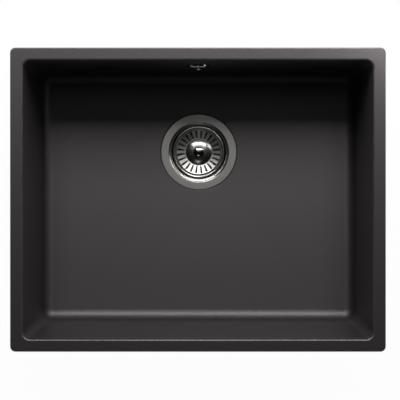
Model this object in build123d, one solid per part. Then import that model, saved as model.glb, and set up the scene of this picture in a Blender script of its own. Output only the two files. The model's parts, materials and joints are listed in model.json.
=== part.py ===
from build123d import *
import os
from math import cos, degrees, hypot, radians, sin, tan

# Single-bowl resin kitchen sink with a lift-out basket strainer waste and a slim overflow.
# Millimetres and degrees. +Z is up, +X to the right and +Y to the back of the sink.
# The origin is the centre of the rim's top face.

# Tolerance when edges are picked by their radius or height
MATCH = 0.001

# Sink moulding
RIM_LENGTH = 525.0
RIM_WIDTH = 425.0
RIM_LEDGE = 17.5
RIM_THICKNESS = 10.0
RIM_CORNER_RADIUS = 7.5
RIM_EDGE_RADIUS = 1.5
RIM_UNDER_EDGE_RADIUS = 1.0
RIM_ROOT_RADIUS = 4.0
OPENING_CORNER_RADIUS = 10.5
OPENING_EDGE_RADIUS = 2.5
BOWL_DEPTH = 195.0
WALL_DRAFT = 3.6
WALL_THICKNESS = 8.0
FLOOR_THICKNESS = 10.0
FLOOR_RADIUS = 15.0
FLOOR_CORNER_GROWTH = 2.0
FLOOR_FALL = 0.6
DRAIN_OFFSET = 68.0

# Waste flange and its cup, pressed from one sheet
CUP_RADIUS = 40.7
CUP_BEVEL_WIDTH = 4.8
CUP_BEVEL_FALL = 15.0
CUP_LIP_RADIUS = 2.0
CUP_FLOOR_RADIUS = 4.0
FLANGE_SHEET = 1.2
FLANGE_CHAMFER = 0.4
DRAIN_HOLE_CLEARANCE = 3.1
FLANGE_LAP = 11.5
FLANGE_SEAT_DEPTH = 2.0
FLANGE_SEAT_CLEARANCE = 1.0
FLANGE_SEAT_EDGE_RADIUS = 0.8
FLANGE_GASKET_THICKNESS = 1.5
FLANGE_GASKET_LAND = 1.0
CUP_SLOT_COUNT = 6
CUP_SLOT_WEB = 3.0
CUP_SLOT_LAND = 1.5

# Strainer basket, pressed from one sheet
BASKET_SHEET = 0.9
BASKET_DROP = 4.5
BASKET_SIDE_CLEARANCE = 1.4
BASKET_RIM_WIDTH = 3.7
BASKET_RIM_DEPTH = 3.0
BASKET_LEDGE = 2.6
BASKET_DEPTH = 6.5
BASKET_FOOT_RADIUS = 20.5
BASKET_FOOT_LAND = 1.0
BASKET_BEND_RADIUS = 0.7
BASKET_SLOT_COUNT = 24
BASKET_SLOT_ANGLE = 6.0
BASKET_SLOT_LAND = 0.7
DOME_HEIGHT = 3.0
DOME_TOP_RADIUS = 5.5

# Knob and post
KNOB_RADIUS = 7.6
KNOB_HEIGHT = 5.0
KNOB_NECK_RADIUS = 4.8
KNOB_NECK_HEIGHT = 3.5
KNOB_CHAMFER = 1.2
KNOB_CROWN = 1.6
KNOB_SOCKET_DEPTH = 5.5
POST_RADIUS = 3.0
POST_CLEARANCE = 0.2
POST_SHOULDER_RADIUS = 5.5
POST_SHOULDER_HEIGHT = 1.2
TIP_RADIUS = 2.4
TIP_INSERTION = 7.0
TIP_CHAMFER = 0.6

# Stopper under the basket
STOPPER_RADIUS = 27.5
STOPPER_PLATE = 2.5
STOPPER_LIP = 5.0
STOPPER_LIP_CHAMFER = 1.5
STOPPER_WASHER_RADIUS = 9.0
STOPPER_WASHER_THICKNESS = 1.0
SEAT_CLEARANCE = 0.3

# Catch clip in the post's groove
CATCH_HEIGHT = 1.2
CATCH_INSET = 2.6
CATCH_GROOVE_DEPTH = 0.7
CATCH_OPENING = 2.4
CATCH_SOCKET_GAP = 0.8
RUNNING_CLEARANCE = 0.08

# Clamp screw, washer and nut
CLAMP_RADIUS = 5.0
CLAMP_HEAD_RADIUS = 8.5
CLAMP_HEAD_HEIGHT = 4.0
CLAMP_HEAD_CHAMFER = 0.8
CLAMP_HEAD_GAP = 9.5
CLAMP_DRIVE_WIDTH = 2.0
CLAMP_DRIVE_DEPTH = 1.5
CLAMP_SOCKET_END = 2.0
CLAMP_TAIL = 3.0
CLAMP_WASHER_RADIUS = 11.0
CLAMP_WASHER_THICKNESS = 1.2
CLAMP_NUT_FLATS = 16.0
CLAMP_NUT_HEIGHT = 8.0
SCREW_CLEARANCE = 0.4
THREAD_CLEARANCE = 0.1
NUT_CLEARANCE = 0.1

# Waste body
LOWER_SEAL_THICKNESS = 3.0
LOWER_SEAL_LAND = 1.0
BODY_FLANGE_LAP = 12.0
BODY_FLANGE_THICKNESS = 5.0
BODY_GAP = 2.1
BODY_WALL = 3.0
BODY_FLANGE_CHAMFER = 1.2
INLET_DROP = 4.0
INLET_LAND = 3.0
INLET_STEM = 2.0
FUNNEL_HEIGHT = 12.0
OUTLET_RADIUS = 23.9
OUTLET_WALL = 3.4
OUTLET_LENGTH = 28.0
OUTLET_CHAMFER = 1.0
HUB_RADIUS = 13.0
HUB_HEIGHT = 15.0
RIB_COUNT = 4
RIB_THICKNESS = 3.0
RIB_DROP = 2.5
RIB_HEIGHT = 10.0
GUSSET_COUNT = 12
GUSSET_THICKNESS = 2.5
GUSSET_HEIGHT = 13.0
GUSSET_SETBACK = 1.5

# Overflow
OVERFLOW_DROP = 60.0
OVERFLOW_HOLE_RADIUS = 14.0
ROSETTE_LAP = 2.5
ROSETTE_HEIGHT = 6.0
ROSETTE_SIDE = 4.8
ROSETTE_SHOULDER_RADIUS = 4.0
ROSETTE_SHEET = 1.6
ROSETTE_SLOT_COUNT = 8
ROSETTE_SLOT_WIDTH = 3.0
ROSETTE_SLOT_MARGIN = 1.2
ROSETTE_BOSS_RADIUS = 5.6
ROSETTE_SPIGOT_DEPTH = 4.0
ROSETTE_SPIGOT_CLEARANCE = 0.4
OVERFLOW_SCREW_RADIUS = 2.5
OVERFLOW_SCREW_TAIL = 1.5
OVERFLOW_HEAD_RADIUS = 4.5
OVERFLOW_HEAD_HEIGHT = 2.2
OVERFLOW_HEAD_RECESS = 1.4
OVERFLOW_HEAD_CHAMFER = 0.8
OVERFLOW_DRIVE_WIDTH = 1.1
OVERFLOW_DRIVE_DEPTH = 0.9
OVERFLOW_NUT_FLATS = 8.0
OVERFLOW_NUT_HEIGHT = 4.0
OVERFLOW_GASKET_THICKNESS = 2.0
OVERFLOW_GASKET_WIDTH = 7.0
OVERFLOW_GASKET_LAND = 0.5

# Overflow housing and duct
HOUSING_MARGIN = 1.0
HOUSING_WALL = 2.0
HOUSING_FRONT = 2.5
HOUSING_LENGTH = 34.0
HOUSING_EDGE_RADIUS = 3.0
HOUSING_MOUTH_SETBACK = 1.5
HOUSING_HUB_RADIUS = 6.2
HOUSING_HUB_DEPTH = 7.0
HOUSING_SPOKE_COUNT = 3
HOUSING_SPOKE_WIDTH = 2.4
DUCT_WIDTH = 40.0
DUCT_THICKNESS = 10.0
DUCT_WALL = 1.6
DUCT_CORNER_RADIUS = 3.5
DUCT_BEND_RADIUS = 24.0
DUCT_END_GAP = 0.5
DUCT_WALL_GAP = 1.0
DUCT_SEAL_THICKNESS = 1.2
DUCT_SEAL_HEIGHT = 9.0
DUCT_SOCKET_DEPTH = 14.0
DUCT_SOCKET_WALL = 2.0

# Heights and radii that follow from the sizes above
draft_slope = tan(radians(WALL_DRAFT))
opening_length = RIM_LENGTH - 2 * RIM_LEDGE
opening_width = RIM_WIDTH - 2 * RIM_LEDGE
floor_corner_radius = FLOOR_RADIUS + FLOOR_CORNER_GROWTH
floor_z = -BOWL_DEPTH
underside_z = floor_z - FLOOR_THICKNESS

cup_bevel_radius = CUP_RADIUS + CUP_BEVEL_WIDTH
cup_outer_radius = CUP_RADIUS + FLANGE_SHEET
drain_hole_radius = cup_outer_radius + DRAIN_HOLE_CLEARANCE
flange_radius = drain_hole_radius + FLANGE_LAP
flange_seat_z = floor_z - FLANGE_SEAT_DEPTH
flange_top_z = flange_seat_z + FLANGE_GASKET_THICKNESS + FLANGE_SHEET

basket_radius = CUP_RADIUS - BASKET_SIDE_CLEARANCE
basket_wall_radius = basket_radius - BASKET_RIM_WIDTH - BASKET_LEDGE
basket_top_z = flange_top_z - BASKET_DROP
basket_ledge_z = basket_top_z - BASKET_RIM_DEPTH
basket_foot_z = basket_top_z - BASKET_DEPTH
dome_base_radius = BASKET_FOOT_RADIUS - BASKET_FOOT_LAND
dome_top_z = basket_foot_z + DOME_HEIGHT

stopper_top_z = basket_foot_z - BASKET_SHEET
stopper_plate_z = stopper_top_z - STOPPER_PLATE
stopper_washer_z = stopper_plate_z - STOPPER_WASHER_THICKNESS
shoulder_z = stopper_washer_z - POST_SHOULDER_HEIGHT
clamp_head_top_z = shoulder_z - CLAMP_HEAD_GAP
clamp_washer_top_z = clamp_head_top_z - CLAMP_HEAD_HEIGHT
cup_floor_z = clamp_washer_top_z - CLAMP_WASHER_THICKNESS
cup_bottom_z = cup_floor_z - FLANGE_SHEET
tip_z = clamp_head_top_z - TIP_INSERTION
catch_z = tip_z + CATCH_INSET
groove_radius = TIP_RADIUS - CATCH_GROOVE_DEPTH
catch_socket_radius = TIP_RADIUS + CATCH_SOCKET_GAP
stopper_lip_inner_radius = STOPPER_RADIUS - STOPPER_LIP
cup_slot_outer_radius = stopper_lip_inner_radius - CUP_SLOT_LAND
cup_slot_inner_radius = HUB_RADIUS + CUP_SLOT_LAND

body_top_z = underside_z - LOWER_SEAL_THICKNESS
body_flange_z = body_top_z - BODY_FLANGE_THICKNESS
body_flange_radius = drain_hole_radius + BODY_FLANGE_LAP
body_bore_radius = cup_outer_radius + BODY_GAP
body_radius = body_bore_radius + BODY_WALL
hub_bottom_z = cup_bottom_z - HUB_HEIGHT
clamp_nut_z = hub_bottom_z

duct_socket_growth = DUCT_SEAL_THICKNESS + DUCT_SOCKET_WALL
duct_socket_half = DUCT_THICKNESS / 2 + duct_socket_growth
inlet_z = cup_bottom_z - INLET_DROP
inlet_shoulder_y = DRAIN_OFFSET + body_radius + INLET_STEM
pot_floor_z = inlet_z - duct_socket_half - INLET_LAND
outlet_top_z = pot_floor_z - FUNNEL_HEIGHT
outlet_bottom_z = outlet_top_z - OUTLET_LENGTH
outlet_bore_radius = OUTLET_RADIUS - OUTLET_WALL

# The overflow's own plane lies on the bowl's inner back wall: its y runs up the wall, its z out to the back.
wall_normal = Vector(0, cos(radians(WALL_DRAFT)), -sin(radians(WALL_DRAFT)))
overflow_y = opening_width / 2 - OVERFLOW_DROP * draft_slope
overflow_plane = Plane(origin=(0, overflow_y, -OVERFLOW_DROP), x_dir=(-1, 0, 0), z_dir=wall_normal)
wall_depth = WALL_THICKNESS * cos(radians(WALL_DRAFT))
housing_front_depth = wall_depth + OVERFLOW_GASKET_THICKNESS
duct_depth = wall_depth + DUCT_WALL_GAP + duct_socket_half
housing_back_depth = duct_depth + DUCT_THICKNESS / 2 - DUCT_WALL + HOUSING_WALL
housing_radius = OVERFLOW_HOLE_RADIUS + OVERFLOW_GASKET_WIDTH + HOUSING_MARGIN
housing_mouth_radius = OVERFLOW_HOLE_RADIUS - HOUSING_MOUTH_SETBACK
housing_hub_end = housing_front_depth + HOUSING_HUB_DEPTH
rosette_radius = OVERFLOW_HOLE_RADIUS + ROSETTE_LAP
rosette_spigot_radius = OVERFLOW_HOLE_RADIUS - ROSETTE_SPIGOT_CLEARANCE
rosette_spigot_bore = rosette_spigot_radius - ROSETTE_SHEET
screw_seat_depth = OVERFLOW_HEAD_RECESS - ROSETTE_HEIGHT

# Planes at the shoulders that stop the duct's two ends, each with its z along the duct
down_wall = Vector(0, -sin(radians(WALL_DRAFT)), -cos(radians(WALL_DRAFT)))
upper_shoulder = overflow_plane.from_local_coords((0, -HOUSING_LENGTH, duct_depth))
upper_duct_plane = Plane(origin=upper_shoulder, x_dir=(1, 0, 0), z_dir=down_wall)
lower_duct_plane = Plane(origin=(0, inlet_shoulder_y, inlet_z), x_dir=(1, 0, 0), z_dir=(0, 1, 0))


def at_drain(shape):
    """Moves a piece built about the Z axis onto the drain's axis."""
    return Pos(0, DRAIN_OFFSET, 0) * shape


def at_overflow(shape):
    """Moves a piece built about the Z axis onto the overflow's axis."""
    return overflow_plane.location * shape


def turned(section):
    """Turns a section, drawn as radius and height, about the Z axis."""
    return revolve(Plane.XZ * section, Axis.Z)


def disc(radius, bottom_z, height):
    """Round disc about the Z axis."""
    return Pos(0, 0, bottom_z) * extrude(Circle(radius), height)


def ring(outer_radius, inner_radius, bottom_z, height):
    """Flat ring about the Z axis."""
    return Pos(0, 0, bottom_z) * extrude(Circle(outer_radius) - Circle(inner_radius), height)


def hexagon(flats, bottom_z, height):
    """Hexagonal prism about the Z axis, measured across its flats."""
    outline = RegularPolygon(flats / 2, 6, major_radius=False)
    return Pos(0, 0, bottom_z) * extrude(outline, height)


def pressed_sheet(face_line, thickness):
    """Sheet turned about the Z axis; the line follows its upper face from the edge to the middle."""
    return turned(make_face(offset(face_line, thickness, kind=Kind.INTERSECTION, side=Side.LEFT)))


def around(count, shape, start_angle=0.0):
    """Copies of a shape turned evenly about the Z axis."""
    return [place * shape for place in PolarLocations(0, count, start_angle)]


def circles(shape, radius, z):
    """Round edges of a radius that lie flat at a height."""
    flat = shape.edges().filter_by(GeomType.CIRCLE).filter_by_position(Axis.Z, z - MATCH, z + MATCH)
    return flat.filter_by(lambda e: abs(e.radius - radius) < MATCH)


def duct_prism(plane, growth, start, length):
    """Solid of the duct's outer section, grown all round, along a duct plane's z."""
    section = RectangleRounded(
        DUCT_WIDTH + 2 * growth,
        DUCT_THICKNESS + 2 * growth,
        DUCT_CORNER_RADIUS + growth,
    )
    return extrude(plane.offset(start) * section, length)


def tub(length, width, top_radius, low_radius, bottom_z):
    """Drafted block below the rim's top face, with corners that grow towards the bottom."""
    inset = -bottom_z * draft_slope
    top = RectangleRounded(length, width, top_radius)
    low = RectangleRounded(length - 2 * inset, width - 2 * inset, low_radius)
    return loft([top, Pos(0, 0, bottom_z) * low], ruled=True)


def bowl_hollow():
    """Space inside the bowl: drafted walls and a floor that falls as a flat cone to the drain."""
    reach = hypot(RIM_LENGTH, RIM_WIDTH)
    below_floor = Polyline(
        (0, floor_z),
        (reach, floor_z + reach * tan(radians(FLOOR_FALL))),
        (reach, underside_z),
        (0, underside_z),
        close=True,
    )
    hollow = tub(opening_length, opening_width, OPENING_CORNER_RADIUS, floor_corner_radius, underside_z)
    hollow -= at_drain(turned(make_face(below_floor)))
    floor_edges = hollow.edges().filter_by(lambda e: max((e @ 0).Z, (e @ 1).Z) < floor_z / 2)
    return fillet(floor_edges, FLOOR_RADIUS)


def bowl_outside():
    """Drafted block that the hollow is cut from, rounded a wall's thickness further out."""
    length = opening_length + 2 * WALL_THICKNESS
    width = opening_width + 2 * WALL_THICKNESS
    block = Pos(0, 0, underside_z / 2) * Box(length, width, -underside_z)
    block = draft(block.faces().filter_by(Axis.Z, reverse=True), Plane.XY, -WALL_DRAFT)
    lower_edges = block.edges().filter_by(lambda e: e.center().Z < 0)
    return fillet(lower_edges, FLOOR_RADIUS + WALL_THICKNESS)


def inner_edges(shape, z):
    """Flat edges at a height that lie within the bowl's outside."""
    reach_x = opening_length / 2 + WALL_THICKNESS
    reach_y = opening_width / 2 + WALL_THICKNESS
    flat = shape.edges().filter_by_position(Axis.Z, z - MATCH, z + MATCH)
    return flat.filter_by(lambda e: abs(e.center().X) < reach_x and abs(e.center().Y) < reach_y)


def sink_bowl():
    """Resin moulding: rim, bowl, flange seat, drain hole and overflow hole."""
    rim_outline = RectangleRounded(RIM_LENGTH, RIM_WIDTH, RIM_CORNER_RADIUS)
    rim = Pos(0, 0, -RIM_THICKNESS) * extrude(rim_outline, RIM_THICKNESS)
    rim = fillet(rim.edges().group_by(Axis.Z)[0], RIM_UNDER_EDGE_RADIUS)
    rim = fillet(rim.edges().group_by(Axis.Z)[-1], RIM_EDGE_RADIUS)
    sink = rim + bowl_outside()
    sink = fillet(inner_edges(sink, -RIM_THICKNESS), RIM_ROOT_RADIUS)
    sink -= bowl_hollow()
    sink = fillet(inner_edges(sink, 0), OPENING_EDGE_RADIUS)

    seat_radius = flange_radius + FLANGE_SEAT_CLEARANCE
    seat_edge_z = floor_z + seat_radius * tan(radians(FLOOR_FALL))
    sink -= at_drain(disc(seat_radius, flange_seat_z, BOWL_DEPTH))
    sink = fillet(circles(sink, seat_radius, seat_edge_z), FLANGE_SEAT_EDGE_RADIUS)
    sink -= at_drain(disc(drain_hole_radius, underside_z, FLOOR_THICKNESS))
    sink -= at_overflow(disc(OVERFLOW_HOLE_RADIUS, -wall_depth, 3 * wall_depth))
    return sink


def waste_flange():
    """Steel flange and cup, with kidney slots in the cup's floor inside the stopper's seat."""
    upper_face = FilletPolyline(
        (flange_radius, flange_top_z),
        (cup_bevel_radius, flange_top_z),
        (CUP_RADIUS, flange_top_z - CUP_BEVEL_WIDTH * tan(radians(CUP_BEVEL_FALL))),
        (CUP_RADIUS, cup_floor_z),
        (CLAMP_RADIUS + SCREW_CLEARANCE, cup_floor_z),
        radius=[0, CUP_LIP_RADIUS, CUP_FLOOR_RADIUS],
    )
    flange = pressed_sheet(upper_face, FLANGE_SHEET)
    flange = chamfer(circles(flange, flange_radius, flange_top_z), FLANGE_CHAMFER)
    slot_radius = (cup_slot_inner_radius + cup_slot_outer_radius) / 2
    slot_width = cup_slot_outer_radius - cup_slot_inner_radius
    slot_span = 360 / CUP_SLOT_COUNT - degrees((slot_width + CUP_SLOT_WEB) / slot_radius)
    slot_arc = CenterArc((0, 0), slot_radius, -slot_span / 2, slot_span)
    slot = extrude(SlotArc(slot_arc, slot_width), FLANGE_SHEET)
    flange -= around(CUP_SLOT_COUNT, Pos(0, 0, cup_bottom_z) * slot)
    return at_drain(flange)


def flange_gasket():
    """Flat rubber ring between the steel flange and its seat."""
    inner_radius = cup_bevel_radius + FLANGE_GASKET_LAND
    return at_drain(ring(flange_radius, inner_radius, flange_seat_z, FLANGE_GASKET_THICKNESS))


def lower_seal():
    """Thick rubber ring between the bowl's underside and the waste body."""
    inner_radius = drain_hole_radius + LOWER_SEAL_LAND
    return at_drain(ring(body_flange_radius, inner_radius, body_top_z, LOWER_SEAL_THICKNESS))


def waste_body():
    """Moulded pot: flange with gussets, hub on ribs, flat inlet socket, funnel and threaded outlet."""
    outside = Polyline(
        (0, body_top_z),
        (body_flange_radius, body_top_z),
        (body_flange_radius, body_flange_z),
        (body_radius, body_flange_z),
        (body_radius, pot_floor_z),
        (OUTLET_RADIUS, outlet_top_z),
        (OUTLET_RADIUS, outlet_bottom_z),
        (0, outlet_bottom_z),
        close=True,
    )
    inside = Polyline(
        (0, body_top_z),
        (body_bore_radius, body_top_z),
        (body_bore_radius, pot_floor_z + BODY_WALL),
        (outlet_bore_radius, outlet_top_z + BODY_WALL),
        (outlet_bore_radius, outlet_bottom_z),
        (0, outlet_bottom_z),
        close=True,
    )
    body = turned(make_face(outside))
    body = chamfer(circles(body, body_flange_radius, body_flange_z), BODY_FLANGE_CHAMFER)
    body = chamfer(circles(body, OUTLET_RADIUS, outlet_bottom_z), OUTLET_CHAMFER)
    wall_middle = body_bore_radius + BODY_WALL / 2
    gusset_face = Polyline(
        (wall_middle, body_flange_z),
        (body_flange_radius - GUSSET_SETBACK, body_flange_z),
        (wall_middle, body_flange_z - GUSSET_HEIGHT),
        close=True,
    )
    gusset = extrude(Plane.XZ * make_face(gusset_face), GUSSET_THICKNESS / 2, both=True)
    body += around(GUSSET_COUNT, gusset, 180 / GUSSET_COUNT)

    stem_start = (body_bore_radius**2 - (DUCT_WIDTH / 2) ** 2) ** 0.5 - body_radius - INLET_STEM
    body = at_drain(body) + duct_prism(
        lower_duct_plane, duct_socket_growth, stem_start, DUCT_SOCKET_DEPTH - stem_start
    )
    body -= at_drain(turned(make_face(inside)))

    rib = Pos(wall_middle / 2, 0, cup_bottom_z - RIB_DROP - RIB_HEIGHT / 2) * Box(
        wall_middle, RIB_THICKNESS, RIB_HEIGHT
    )
    hub = disc(HUB_RADIUS, hub_bottom_z, HUB_HEIGHT)
    hub += around(RIB_COUNT, rib, 180 / RIB_COUNT)
    hub -= disc(CLAMP_RADIUS + SCREW_CLEARANCE, hub_bottom_z, HUB_HEIGHT)
    hub -= hexagon(CLAMP_NUT_FLATS + 2 * NUT_CLEARANCE, clamp_nut_z, CLAMP_NUT_HEIGHT)
    body += at_drain(hub)
    body -= duct_prism(lower_duct_plane, -DUCT_WALL, stem_start, -stem_start)
    body -= duct_prism(lower_duct_plane, DUCT_SEAL_THICKNESS, 0, DUCT_SOCKET_DEPTH)
    return body


def clamp_screw():
    """Screw that draws the flange and the waste body together, bored to take the basket's catch."""
    tail_z = clamp_nut_z - CLAMP_TAIL
    head = disc(CLAMP_HEAD_RADIUS, clamp_washer_top_z, CLAMP_HEAD_HEIGHT)
    head = chamfer(circles(head, CLAMP_HEAD_RADIUS, clamp_head_top_z), CLAMP_HEAD_CHAMFER)
    head -= Pos(0, 0, clamp_head_top_z - CLAMP_DRIVE_DEPTH / 2) * Box(
        2 * CLAMP_HEAD_RADIUS, CLAMP_DRIVE_WIDTH, CLAMP_DRIVE_DEPTH
    )
    screw = head + disc(CLAMP_RADIUS, tail_z, clamp_washer_top_z - tail_z)
    screw -= disc(catch_socket_radius, tip_z - CLAMP_SOCKET_END, TIP_INSERTION + CLAMP_SOCKET_END)
    return at_drain(screw)


def clamp_washer():
    """Flat washer under the clamp screw's head."""
    hole_radius = CLAMP_RADIUS + SCREW_CLEARANCE
    return at_drain(ring(CLAMP_WASHER_RADIUS, hole_radius, cup_floor_z, CLAMP_WASHER_THICKNESS))


def clamp_nut():
    """Brass nut held in the waste body's hub."""
    nut = hexagon(CLAMP_NUT_FLATS, clamp_nut_z, CLAMP_NUT_HEIGHT)
    nut -= disc(CLAMP_RADIUS + THREAD_CLEARANCE, clamp_nut_z, CLAMP_NUT_HEIGHT)
    return at_drain(nut)


def strainer_basket():
    """Pressed basket: rolled rim, ledge, slotted cone, narrow foot and domed middle."""
    rim_inner_radius = basket_radius - BASKET_RIM_WIDTH
    bend = BASKET_BEND_RADIUS + BASKET_SHEET
    wall = FilletPolyline(
        (basket_radius, basket_ledge_z),
        (basket_radius, basket_top_z),
        (rim_inner_radius, basket_top_z),
        (rim_inner_radius, basket_ledge_z),
        (basket_wall_radius, basket_ledge_z),
        (BASKET_FOOT_RADIUS, basket_foot_z),
        (dome_base_radius, basket_foot_z),
        radius=[bend, bend, 0, bend, 0],
    )
    dome_edge = (DOME_TOP_RADIUS, dome_top_z)
    dome = TangentArc(dome_edge, wall @ 1, tangent=(1, 0))
    dome_top = Line(dome_edge, (POST_RADIUS + POST_CLEARANCE, dome_top_z))
    basket = pressed_sheet(wall + dome + dome_top, BASKET_SHEET)
    slot_inner_radius = BASKET_FOOT_RADIUS + BASKET_SLOT_LAND
    slot_outer_radius = basket_wall_radius - BASKET_SLOT_LAND
    spread = tan(radians(BASKET_SLOT_ANGLE / 2))
    slot_outline = Polyline(
        (slot_inner_radius, -slot_inner_radius * spread),
        (slot_outer_radius, -slot_outer_radius * spread),
        (slot_outer_radius, slot_outer_radius * spread),
        (slot_inner_radius, slot_inner_radius * spread),
        close=True,
    )
    slot = Pos(0, 0, stopper_top_z) * extrude(make_face(slot_outline), basket_top_z - stopper_top_z)
    basket -= around(BASKET_SLOT_COUNT, slot, 180 / BASKET_SLOT_COUNT)
    return at_drain(basket)


def basket_knob():
    """Turned pull knob that screws onto the post and sits on the basket's dome."""
    neck_top_z = dome_top_z + KNOB_NECK_HEIGHT
    crown_z = neck_top_z + KNOB_HEIGHT
    crown = TangentArc((0, crown_z), (KNOB_RADIUS, crown_z - KNOB_CROWN), tangent=(1, 0))
    side = Polyline(
        crown @ 1,
        (KNOB_RADIUS, neck_top_z),
        (KNOB_NECK_RADIUS, neck_top_z),
        (KNOB_NECK_RADIUS, dome_top_z),
        (0, dome_top_z),
        (0, crown_z),
    )
    knob = turned(make_face(crown + side))
    knob = chamfer(circles(knob, KNOB_RADIUS, neck_top_z), KNOB_CHAMFER)
    knob -= disc(POST_RADIUS + THREAD_CLEARANCE, dome_top_z, KNOB_SOCKET_DEPTH)
    return at_drain(knob)


def basket_post():
    """Post from the knob down to the grooved tip that the catch clip grips."""
    post_top_z = dome_top_z + KNOB_SOCKET_DEPTH
    tip = disc(TIP_RADIUS, tip_z, shoulder_z - tip_z)
    tip = chamfer(circles(tip, TIP_RADIUS, tip_z), TIP_CHAMFER)
    groove_z = catch_z - RUNNING_CLEARANCE
    tip -= ring(2 * TIP_RADIUS, groove_radius, groove_z, CATCH_HEIGHT + 2 * RUNNING_CLEARANCE)
    post = tip + disc(POST_SHOULDER_RADIUS, shoulder_z, POST_SHOULDER_HEIGHT)
    post += disc(POST_RADIUS, stopper_washer_z, post_top_z - stopper_washer_z)
    return at_drain(post)


def stopper():
    """Rubber bell under the basket whose lip closes on the cup's floor round the slots."""
    lip_z = cup_floor_z + SEAT_CLEARANCE
    hole_radius = POST_RADIUS + POST_CLEARANCE
    bell = ring(STOPPER_RADIUS, hole_radius, lip_z, stopper_top_z - lip_z)
    bell -= disc(stopper_lip_inner_radius, lip_z, stopper_plate_z - lip_z)
    bell = chamfer(circles(bell, STOPPER_RADIUS, lip_z), STOPPER_LIP_CHAMFER)
    bell = chamfer(circles(bell, stopper_lip_inner_radius, lip_z), STOPPER_LIP_CHAMFER)
    return at_drain(bell)


def stopper_washer():
    """Steel washer that spreads the post's shoulder on the stopper."""
    hole_radius = POST_RADIUS + POST_CLEARANCE
    return at_drain(ring(STOPPER_WASHER_RADIUS, hole_radius, stopper_washer_z, STOPPER_WASHER_THICKNESS))


def catch_clip():
    """Open spring ring in the post's groove that grips the clamp screw's bore."""
    outer_radius = catch_socket_radius - RUNNING_CLEARANCE
    clip = ring(outer_radius, groove_radius + RUNNING_CLEARANCE, catch_z, CATCH_HEIGHT)
    clip -= Pos(outer_radius / 2, 0, catch_z + CATCH_HEIGHT / 2) * Box(
        outer_radius, CATCH_OPENING, CATCH_HEIGHT
    )
    return at_drain(clip)


def overflow_rosette():
    """Domed cover with rounded shoulders, radial slots and a spigot that centres it in the overflow hole."""
    front = TangentArc((0, -ROSETTE_HEIGHT), (rosette_radius, -ROSETTE_SIDE), tangent=(1, 0))
    front_side = Polyline(front @ 1, (rosette_radius, 0), (0, 0), front @ 0)
    hollow_edge = (rosette_spigot_bore, ROSETTE_SHEET - ROSETTE_SIDE)
    back = TangentArc((0, ROSETTE_SHEET - ROSETTE_HEIGHT), hollow_edge, tangent=(1, 0))
    back_side = Polyline(back @ 1, (rosette_spigot_bore, 0), (0, 0), back @ 0)
    rosette = turned(make_face(front + front_side))
    rosette = fillet(circles(rosette, rosette_radius, -ROSETTE_SIDE), ROSETTE_SHOULDER_RADIUS)
    rosette -= turned(make_face(back + back_side))
    rosette += ring(rosette_spigot_radius, rosette_spigot_bore, 0, ROSETTE_SPIGOT_DEPTH)
    rosette += disc(ROSETTE_BOSS_RADIUS, screw_seat_depth, ROSETTE_SHEET)
    rosette -= disc(OVERFLOW_HEAD_RADIUS + SCREW_CLEARANCE, -ROSETTE_HEIGHT, OVERFLOW_HEAD_RECESS)
    rosette -= disc(OVERFLOW_SCREW_RADIUS + SCREW_CLEARANCE, -ROSETTE_HEIGHT, ROSETTE_HEIGHT)
    slot_start = ROSETTE_BOSS_RADIUS + ROSETTE_SLOT_MARGIN
    slot_end = rosette_spigot_bore - ROSETTE_SLOT_MARGIN
    slot = Pos((slot_start + slot_end) / 2, 0, -ROSETTE_HEIGHT) * extrude(
        SlotOverall(slot_end - slot_start, ROSETTE_SLOT_WIDTH), ROSETTE_HEIGHT
    )
    rosette -= around(ROSETTE_SLOT_COUNT, slot)
    return at_overflow(rosette)


def overflow_screw():
    """Screw through the rosette into the housing's nut."""
    head_z = screw_seat_depth - OVERFLOW_HEAD_HEIGHT
    head = disc(OVERFLOW_HEAD_RADIUS, head_z, OVERFLOW_HEAD_HEIGHT)
    head = chamfer(circles(head, OVERFLOW_HEAD_RADIUS, head_z), OVERFLOW_HEAD_CHAMFER)
    head -= Pos(0, 0, head_z + OVERFLOW_DRIVE_DEPTH / 2) * Box(
        2 * OVERFLOW_HEAD_RADIUS, OVERFLOW_DRIVE_WIDTH, OVERFLOW_DRIVE_DEPTH
    )
    shank_end = housing_hub_end + OVERFLOW_SCREW_TAIL
    return at_overflow(head + disc(OVERFLOW_SCREW_RADIUS, screw_seat_depth, shank_end - screw_seat_depth))


def overflow_gasket():
    """Rubber ring between the bowl's outer wall and the overflow housing."""
    outer_radius = OVERFLOW_HOLE_RADIUS + OVERFLOW_GASKET_WIDTH
    inner_radius = OVERFLOW_HOLE_RADIUS + OVERFLOW_GASKET_LAND
    return at_overflow(ring(outer_radius, inner_radius, wall_depth, OVERFLOW_GASKET_THICKNESS))


def housing_outline(radius, length):
    """Round head with straight sides down the wall."""
    return Circle(radius) + Pos(0, -length / 2) * Rectangle(2 * radius, length)


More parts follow.
